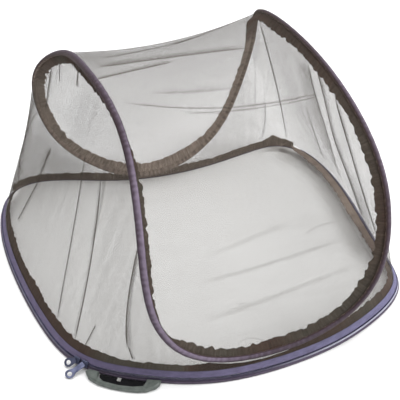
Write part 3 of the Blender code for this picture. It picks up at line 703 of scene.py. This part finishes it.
def crease(tree, place, x0, y0, x1, y1, bend, half, strength):
    """A line on the floor plane, as a value from 0 to strength."""
    start = np.array([x0, y0, 0.0]) * MM
    run = np.array([x1 - x0, y1 - y0, 0.0]) * MM
    long = float(np.linalg.norm(run))
    side = np.array([-run[1], run[0], 0.0]) / long
    rel = add(tree, "VectorMath", {0: place, 1: tuple(start)}, operation="SUBTRACT").outputs[0]
    u = add(tree, "VectorMath", {0: rel, 1: tuple(run / long**2)}, operation="DOT_PRODUCT").outputs["Value"]
    v = add(tree, "VectorMath", {0: rel, 1: tuple(side)}, operation="DOT_PRODUCT").outputs["Value"]
    hump = maths(tree, "MULTIPLY", u, maths(tree, "SUBTRACT", 1.0, u))
    away = maths(tree, "SUBTRACT", v, maths(tree, "MULTIPLY", hump, 4.0 * bend * MM))
    away = maths(tree, "ABSOLUTE", away)
    near = fade(tree, away, 0.0, half * MM, strength, 0.0)
    ends = fade(tree, hump, 0.0, 0.2, 0.0, 1.0)
    return maths(tree, "MULTIPLY", near, ends)


def mat_material(name):
    """White woven cloth with creases and painted shade along them. The point value rim darkens it with
    painted shade.
    """
    made, tree, shader = new_material(name)
    place = add(tree, "TexCoord").outputs["Object"]
    own = weave(tree, place, 1.1)
    mottle = noise(tree, place, 28.0, 5.0, 0.6)
    fibres = noise(tree, scaled(tree, place, (900, 260, 1)), 1.0, 3.0, 0.7)
    blend = maths(tree, "ADD", maths(tree, "MULTIPLY", mottle, 0.6), maths(tree, "MULTIPLY", fibres, 0.4))
    tone = ramp(tree, blend, 0.3, 0.7, colour(*MAT_DULL), colour(*MAT_LIGHT))
    folded = crease(tree, place, *MAT_CREASES[0])
    for row in MAT_CREASES[1:]:
        folded = maths(tree, "MAXIMUM", folded, crease(tree, place, *row))
    # Painted shade along the creases.
    tone = mix(tree, maths(tree, "MULTIPLY", folded, 0.4), tone, colour(*MAT_GREY))
    # Painted shade from the point value rim: grey inside the right rim and dark in the back right corner.
    rim = add(tree, "Attribute", attribute_name="rim").outputs["Fac"]
    tone = mix(tree, rim, tone, colour(*MAT_GREY))
    tree.links.new(tone, shader.inputs["Base Color"])
    height = maths(tree, "ADD", maths(tree, "MULTIPLY", own, 0.25), blend)
    height = maths(tree, "ADD", height, maths(tree, "MULTIPLY", folded, 1.5))
    bump(tree, shader, height, 0.6, 0.5)
    shader.inputs["Roughness"].default_value = 0.9
    shader.inputs["Sheen Weight"].default_value = 0.1
    return made


def hard_material(name, light, dark, rough, metal=0.0, shine=0.5):
    """Moulded plastic or painted metal with a fine grain and paler places of wear."""
    made, tree, shader = new_material(name)
    place = add(tree, "TexCoord").outputs["Object"]
    fine = noise(tree, place, 900.0, 3.0, 0.6)
    wear_and_painted_shade = noise(tree, place, 100.0, 4.0, 0.6)
    tree.links.new(ramp(tree, wear_and_painted_shade, 0.35, 0.68, colour(*dark), colour(*light)), shader.inputs["Base Color"])
    spread_rough = add(tree, "MapRange", {0: wear_and_painted_shade, 3: rough * 0.85, 4: min(1.0, rough * 1.25)})
    tree.links.new(spread_rough.outputs[0], shader.inputs["Roughness"])
    bump(tree, shader, fine, 0.05, 0.6)
    shader.inputs["Metallic"].default_value = metal
    shader.inputs["Specular IOR Level"].default_value = shine
    return made


# Pieces


def build_mat(white):
    base = BaseLine(MAT_FINENESS)
    edge = base.offset(*BASE_SECTION["mat edge"])
    centre = np.array(MAT_MIDDLE)
    comes, comes_over, goes, goes_over = RIM_SPAN
    right = np.clip((base.station - comes) / comes_over, 0, 1)
    right *= np.clip((goes - base.station) / goes_over, 0, 1)
    corner_station, corner_half, corner_dark = MAT_CORNER
    corner = corner_dark * bell(base.station, corner_station, corner_half)
    rows, rim = [], []
    for share in np.concatenate([np.linspace(0.0, 0.78, 44), np.linspace(0.79, 1.0, 58)]):
        row = centre + (edge - centre) * share
        x, y = row[:, 0], row[:, 1]
        rise = max(0.0, (share - MAT_FLAT_SHARE) / (1.0 - MAT_FLAT_SHARE)) ** MAT_CURL
        flat = MAT_THICK / 2 + (BASE_SECTION["mat edge"][1] - MAT_THICK / 2) * rise
        wrinkle = 0.5 + 0.35 * ground_noise(x, y, 90.0, 3) + 0.12 * ground_noise(x, y, 28.0, 5)
        eased = np.clip(share * 12, 0, 1) * np.clip((1.0 - share) * 8, 0.15, 1)
        row[:, 2] = flat + np.maximum(wrinkle, 0.0) * eased
        rows.append(row)
        inset = np.linalg.norm(edge - centre, axis=1) * (1.0 - share)
        soft = bell(np.maximum(inset, RIM_FADE[0]), *RIM_FADE)
        bright = np.clip((inset - RIM_STRIP[0]) / RIM_STRIP[1], 0.0, 1.0)
        # Painted shade: grey along the inside of the right rim, dark in the back right corner.
        rim.append(np.maximum(right * RIM_GREY * soft * bright, corner * (inset < RIM_STRIP[0])))
    made = make_sheet(
        "mat_cloth", rows, white, ("base_mat",), True, MAT_CLOTH_THICK, {"rim": np.array(rim)}
    )


def signed(base):
    """Stations counted both ways from the front middle, with the zip's left half below zero."""
    return np.where(base.station > STATIONS + ZIP_FIRST - 3, base.station - STATIONS, base.station)


def build_base(purple, tape, piping, coil_finish, taupe, canopy_loop):
    base = BaseLine(EDGE_FINENESS)
    station = signed(base)
    # Painted shade: the base binding darker towards the left, from SIDE_TONES, plus uneven tone.
    side_shade_and_tone = 0.35 * (1.0 - around(SIDE_TONES, 2, station)) + uneven(base.count, "base binding's tone")
    out, height = BASE_SECTION["casing"]
    swell = 1.0 + uneven(base.count, "base binding's size")
    pucker = uneven(base.count, "base binding's puckers")
    sides = 14
    sections, face = [], []
    for a in np.arange(sides) * 2 * np.pi / sides:
        radius = BASE_CASING / 2 * swell * (1.0 + max(0.0, math.sin(a)) * pucker)
        up = np.maximum(height + radius * math.sin(a), LOWEST)
        sections.append(base.offset(out + radius * math.cos(a), up))
        low = np.clip(0.5 - 1.6 * math.sin(a + 0.35), 0.0, 1.0)
        face.append(np.clip(low + side_shade_and_tone, 0.0, 1.0))
    nodes = ("base_hoop_casing",)
    tube("base_binding", sections, purple, nodes, {"face": np.array(face)})

    picked = base.zipped()
    buckle = uneven(base.count, "tape")
    for name, finish, spots, steps, node, beyond, column in (
        ("tape_lower", piping, ("lower tape foot", "lower tape top"), 4, "zip_tape_lower", 0.0, 3),
        ("tape_upper", tape, ("upper tape foot", "upper tape top"), 12, "zip_tape_upper", 0.22, 2),
    ):
        first, last = (np.array(BASE_SECTION[spot]) for spot in spots)
        grown = 1.0 + beyond * np.clip((14.0 - station) / 2.0, 0.0, 1.0)
        rows = []
        for share in np.linspace(0.0, 1.0, steps):
            out, height = (first[k] + (last[k] - first[k]) * share * grown for k in (0, 1))
            rib = 0.12 * math.sin(share * math.pi * 5) * (steps > 6)
            bent = out + rib + math.sin(math.pi * share) * buckle
            rows.append(base.offset(bent, height + rib)[picked])
        # Painted light and shade: the tapes paler towards the right and darker towards the left, from
        # SIDE_TONES.
        face = np.broadcast_to(around(SIDE_TONES, column, station)[picked], (steps, len(picked)))
        made = make_sheet(name, rows, finish, (node,), shares={"face": face})
        area = grid_area(rows)
        wide = float(np.linalg.norm(last - first)) * (1.0 + beyond) * MM
        cut = max(wide, 0.0101)
        long = area / wide
        area = max(area, 0.31 * cut * long)

    build_coil(base, coil_finish)

    feet = base.net_feet()
    gap = np.linalg.norm(feet[::4, None, :] - canopy_loop[None, ::4], axis=2).min(1)
    gap = np.interp(np.arange(base.count), np.arange(0, base.count, 4), gap, period=base.count)
    room = gap - CASING_WIDE / 2 - RUFFLE_LEAST
    lean = np.radians(around(BASE_RUFFLE, 1, station))
    ragged = wave(base.count, *BASE_WIDTH_WAVE) + uneven(base.count, "base ruffle's edge")
    full = around(BASE_RUFFLE, 2, station) + ragged
    lean = lean * (1.0 - 0.8 * bell(base.station, *RUFFLE_PEAK))
    reach = np.clip(np.minimum(full, room), RUFFLE_LEAST, None)
    out, height = BASE_SECTION["band foot at zip"]
    ease = np.clip((reach - 6.0) / 8.0, 0.0, 1.0)
    ripple = wave(base.count, *BASE_EDGE_WAVE) * ease
    gather = ease * uneven(base.count, "base ruffle")
    picked = base.zipped(1.2, 1.9)
    rows = []
    for share in np.linspace(0.0, 1.0, 10):
        bulge = ripple * share**2 + gather * share**0.7
        run = reach * share
        rows.append(
            base.offset(
                out - run * np.sin(lean) - bulge * np.cos(lean),
                height - 0.6 + run * np.cos(lean) - bulge * np.sin(lean) * 0.5,
            )[picked]
        )
    # Painted light and shade: the base ruffle paler towards the right and darker towards the left, from
    # SIDE_TONES.
    face = np.broadcast_to(around(SIDE_TONES, 1, station)[picked], (10, len(picked)))
    made = make_sheet("band_base", rows, taupe, ("base_ruffle",), shares={"face": face})

    first = int((ZIP_LAST + 0.9) * base.fineness)
    last = int((ZIP_FIRST + STATIONS - 1.4) * base.fineness)
    back = np.arange(first, last + 1)
    lean = math.radians(HINGE_LEAN)
    peak_station, peak_half, taller = HINGE_PEAK
    full = BAND_WIDE + ragged + taller * bell(base.station, peak_station, peak_half)
    out, height = BASE_SECTION["band foot at hinge"]
    gather = uneven(base.count, "hinge ruffle")
    rows = []
    for share in np.linspace(0.0, 1.0, 10):
        run = full * share
        bulge = gather * share**0.7 * np.clip(share * 3, 0, 1)
        up = height - 1.5 + run * math.cos(lean)
        rows.append(base.offset(out - run * math.sin(lean) - bulge, up)[back])
    pale = np.interp(back / base.fineness, (36.0, 44.0), (0.93, 1.0))
    face = np.broadcast_to(pale, (10, len(back)))
    made = make_sheet("band_hinge", rows, taupe, ("hinge_ruffle",), shares={"face": face})


def build_coil(base, finish):
    """The zip's coil: one small rounded loop of nylon a step, all in one piece."""
    picked = base.zipped()
    line = base.offset(*BASE_SECTION["coil"])[picked]
    steps = np.concatenate([[0.0], np.cumsum(np.linalg.norm(np.diff(line, axis=0), axis=1))])
    count = int(steps[-1] / COIL_PITCH)
    places = (np.arange(count) + 0.5) * steps[-1] / count
    spots = np.stack([np.interp(places, steps, c) for c in line.T], 1)
    out = np.stack([np.interp(places, steps, c) for c in base.out[picked].T], 1)
    out = unit(np.column_stack([out, np.zeros(count)]))
    along = np.stack([-out[:, 1], out[:, 0], np.zeros(count)], 1)
    slant = math.radians(COIL_SLANT)
    up = np.array([0.0, 0.0, 1.0])
    lift = -out * math.cos(slant) + up * math.sin(slant)
    face = out * math.sin(slant) + up * math.cos(slant)
    points = spots[:, None, :] + sum(
        way[:, None, :] * part[None, :, None] for way, part in zip((along, lift, face), np.array(COIL_LOOP).T)
    )
    one = [(3, 2, 1, 0), (8, 9, 10, 11)]
    for low in (0, 4):
        for k in range(4):
            one.append((low + k, low + (k + 1) % 4, low + 4 + (k + 1) % 4, low + 4 + k))
    faces = (np.array(one)[None] + 12 * np.arange(count)[:, None, None]).reshape(-1, 4)
    make_piece("zip_teeth", points.reshape(-1, 3), faces, finish, ("zip_coil",), None, False)


def build_canopy_edge(lavender, taupe):
    canopy = CanopyLine(BaseLine(EDGE_FINENESS))
    start_way = turned(canopy.to_roof, canopy.along, canopy.inward * SEAM_TURN)
    sides = 20
    swell = 1.0 + uneven(canopy.count, "hoop binding's size")
    puckers = uneven(canopy.count, "hoop binding's puckers")
    mottle = uneven(canopy.count, "hoop binding's tone")
    dark = around(HOOP_TONES, 2, canopy.station)
    pale = around(HOOP_TONES, 1, canopy.station)
    sections, face = [], []
    for a in np.arange(sides) * 2 * np.pi / sides:
        flat, deep = math.cos(a), math.sin(a)
        wide = CASING_WIDE / 2 * np.sign(flat) * abs(flat) ** 0.8
        thick = CASING_DEEP / 2 * np.sign(deep) * abs(deep) ** 0.9
        way = canopy.flat * wide + canopy.outward * thick
        toward = (unit(way) * start_way).sum(1)
        pucker = np.clip(toward, 0, 1) * puckers
        sections.append(canopy.loop + way * swell[:, None] + unit(way) * pucker[:, None])
        # Painted shade: the binding darker in a line along the seam, where the ruffle meets it.
        seam = np.clip((toward - 0.8) * 4.0, 0.0, 1.0)
        inner = float(np.clip(0.5 - 1.3 * deep, 0.0, 1.0))
        # Painted shade: the binding darker on faces turned away from LIGHT_WAY, added to its uneven tone.
        shade = 0.5 - 0.5 * unit(way) @ unit(np.array(LIGHT_WAY))
        wear_and_painted_shade = mottle + (dark - 0.1 + 0.5 * shade) * (1.0 - inner)
        lined = inner * (0.85 + 0.15 * pale**3)
        face.append(np.clip(np.maximum(lined, 0.6 * seam) + wear_and_painted_shade, 0.0, 1.0))
    shares = {"face": np.array(face)}
    tube("canopy_binding", sections, lavender, ("canopy_hoop_casing",), shares)

    lean = around(CANOPY_RUFFLE, 1, canopy.station)
    band_way = turned(canopy.to_roof, canopy.along, canopy.inward * lean[:, None])
    low = canopy.edge(start_way, -SEAM_TUCK)
    reach = around(CANOPY_RUFFLE, 2, canopy.station) + SEAM_TUCK
    ragged = wave(canopy.count, *HOOP_WIDTH_WAVE) + uneven(canopy.count, "hoop ruffle's edge")
    reach = (reach + ragged * np.clip(reach / 8.0 - 0.3, 0.0, 1.0))[:, None]
    ripple = -canopy.outward * (HOOP_EDGE_WAVE[0] + wave(canopy.count, *HOOP_EDGE_WAVE))[:, None]
    gather = uneven(canopy.count, "hoop ruffle")
    side = np.cross(canopy.along, band_way)
    rows = []
    for share in np.linspace(0.0, 1.0, 10):
        bulge = side * (gather * min(1.0, share * 2.5))[:, None]
        rows.append(low + band_way * reach * share + ripple * share**2 + bulge)
    face = np.broadcast_to(pale, (10, canopy.count))
    nodes = ("canopy_ruffle",)
    made = make_sheet("band_canopy", rows, taupe, nodes, closed=True, shares={"face": face})


def build_nets(wall_net, roof_net):
    base = BaseLine(NET_FINENESS)
    canopy = CanopyLine(base)
    half = canopy.half
    wall_edge = canopy.edge(canopy.to_wall, NET_GAP)
    drop = base.net_feet() - wall_edge
    puckers = uneven(base.count, "wall nets' edges")
    mottle = uneven(base.count, "wall nets' tone")
    inside = -np.column_stack([base.out, np.zeros(base.count)])
    tall = np.linalg.norm(drop, axis=1)
    station = canopy.station
    rows = []
    for share in np.linspace(0.0, 1.0, 37):
        bow = 4.0 * share * (1.0 - share) * WALL_SAG * np.clip(tall / WALL_SAG_FULL, 0.0, 1.0) ** 2
        for top, foot, depth, width in WALL_FOLDS:
            line = top + (foot - top) * share
            bow -= math.sin(math.pi * share) * depth * np.exp(-(((station - line) / width) ** 2))
        near = min(share, 1.0 - share)
        small = puckers * math.exp(-((near / 0.14) ** 2)) * min(1.0, near * 25)
        rows.append(wall_edge + drop * share + inside * (bow + small)[:, None])
    rows = np.array(rows)
    for name, node, picked in (
        ("net_wall_right", "net_right", np.arange(half + 1)),
        ("net_wall_left", "net_left", half + np.arange(half + 1)),
    ):
        panel = rows[:, picked % base.count]
        place = (picked / base.fineness)[None, :]
        share = np.linspace(0.0, 1.0, len(rows))[:, None]
        gather = patch_field(place, share, WALL_PATCHES) - WALL_THINNER
        gather += mottle[picked % base.count][None, :]
        shares = {"gather": gather, "station": place + 0 * share, "share": share + 0 * place}
        made = make_sheet(name, panel, wall_net, (node,), thick=NET_THICK, shares=shares)

    roof_edge = canopy.edge(canopy.to_roof, NET_GAP)
    right = roof_edge[: half + 1]
    left = roof_edge[-np.arange(half + 1) % canopy.count]
    span = right - left
    width = np.linalg.norm(span, axis=1)
    ridge = (right + left) / 2
    slope = np.gradient(ridge, axis=0)
    inside = across(np.array(ROOF_MIDDLE) - ridge, unit(slope))
    inside = across(inside, unit(span + 1e-9))
    rows = []
    across_shares = np.linspace(0.0, 1.0, 49)
    for share in across_shares:
        bow = 4.0 * share * (1.0 - share) * TOP_SAG * (width / width.max()) ** 2
        rows.append(left + span * share + inside * bow[:, None])
    trim = canopy.count // STATIONS
    panel = np.array(rows)[:, trim:-trim]
    place = canopy.station[: half + 1][None, trim:-trim]
    share = across_shares[:, None]
    gather = patch_field(place, share, ROOF_PATCHES)
    gather += uneven(canopy.count, "roof net's tone")[: half + 1][None, trim:-trim]
    shares = {"gather": gather, "station": place + 0 * share, "share": share + 0 * place}
    made = make_sheet("net_roof", panel, roof_net, ("net_top",), thick=NET_THICK, shares=shares)


def build_stage():
    scene = bpy.context.scene
    floor_finish, _, shader = new_material("studio_floor")
    shader.inputs["Base Color"].default_value = colour(*FLOOR_TONE)
    shader.inputs["Roughness"].default_value = 0.95
    shader.inputs["Specular IOR Level"].default_value = 0.1
    mesh = bpy.data.meshes.new("studio_floor")
    corners = [(x * FLOOR_HALF, y * FLOOR_HALF, 0.0) for x, y in ((-1, -1), (1, -1), (1, 1), (-1, 1))]
    mesh.from_pydata(corners, [], [(0, 1, 2, 3)])
    mesh.materials.append(floor_finish)
    floor = bpy.data.objects.new("studio_floor", mesh)
    scene.collection.objects.link(floor)

    world = bpy.data.worlds.new("studio")
    world.use_nodes = True
    sky = world.node_tree.nodes["Background"]
    sky.inputs["Color"].default_value = colour(1.0, 1.0, 1.0)
    sky.inputs["Strength"].default_value = SKY_STRENGTH
    scene.world = world

    for name, place, size, power in LAMPS:
        light = bpy.data.lights.new(name, "AREA")
        light.size = size
        light.energy = power
        lamp = bpy.data.objects.new(name, light)
        lamp.location = place
        lamp.rotation_euler = (-Vector(place)).to_track_quat("-Z", "Y").to_euler()
        scene.collection.objects.link(lamp)

    camera = bpy.data.objects.new("camera", bpy.data.cameras.new("camera"))
    camera.location = CAMERA_PLACE
    camera.rotation_euler = (Vector(CAMERA_AIM) - Vector(CAMERA_PLACE)).to_track_quat("-Z", "Y").to_euler()
    camera.data.sensor_width = 36.0
    camera.data.lens = CAMERA_LENS
    camera.data.shift_y = CAMERA_SHIFT
    scene.collection.objects.link(camera)
    scene.camera = camera
    scene.view_settings.view_transform = "Standard"
    scene.cycles.transparent_max_bounces = 48


def main():
    white = mat_material("white_cloth")
    purple = woven_material("base_binding", BASE_BINDING_TONES, 0.9)
    lavender = woven_material("canopy_binding", BINDING_TONES, 0.9)
    tape = woven_material("zip_tape", TAPE_TONES, 0.8)
    piping = woven_material("zip_piping", PIPING_TONES, 0.8)
    coil = hard_material("zip_nylon", (0.08, 0.075, 0.15), (0.03, 0.028, 0.07), 0.4)
    taupe = gathered_material("gathered_net", RUFFLE_TONES)
    wall_net = net_material("wall_net", WALL_LINES)
    roof_net = net_material("roof_net", ROOF_LINES)
    grey = hard_material("handle_plastic", (0.13, 0.145, 0.135), (0.075, 0.09, 0.08), 0.4, shine=0.3)
    black = hard_material("plate_plastic", (0.008, 0.008, 0.009), (0.004, 0.004, 0.005), 0.6, shine=0.1)
    metal = hard_material("slider_metal", (0.11, 0.12, 0.19), (0.035, 0.04, 0.075), 0.35, 0.7)
    steel = hard_material("clip_steel", (0.75, 0.75, 0.72), (0.5, 0.5, 0.48), 0.3, 0.9)

    build_mat(white)
    canopy = CanopyLine(BaseLine(EDGE_FINENESS))
    build_base(purple, tape, piping, coil, taupe, canopy.loop)
    build_canopy_edge(lavender, taupe)
    build_nets(wall_net, roof_net)
    for node, finish in (
        ("handle_grip", grey), ("handle_plate", black), ("handle_clip", steel),
        ("zip_slider_a", metal), ("zip_slider_b", metal), ("zip_pull_a", metal), ("zip_pull_b", metal),
    ):
        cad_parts[node].data.materials.clear()
        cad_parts[node].data.materials.append(finish)
    build_stage()


main()
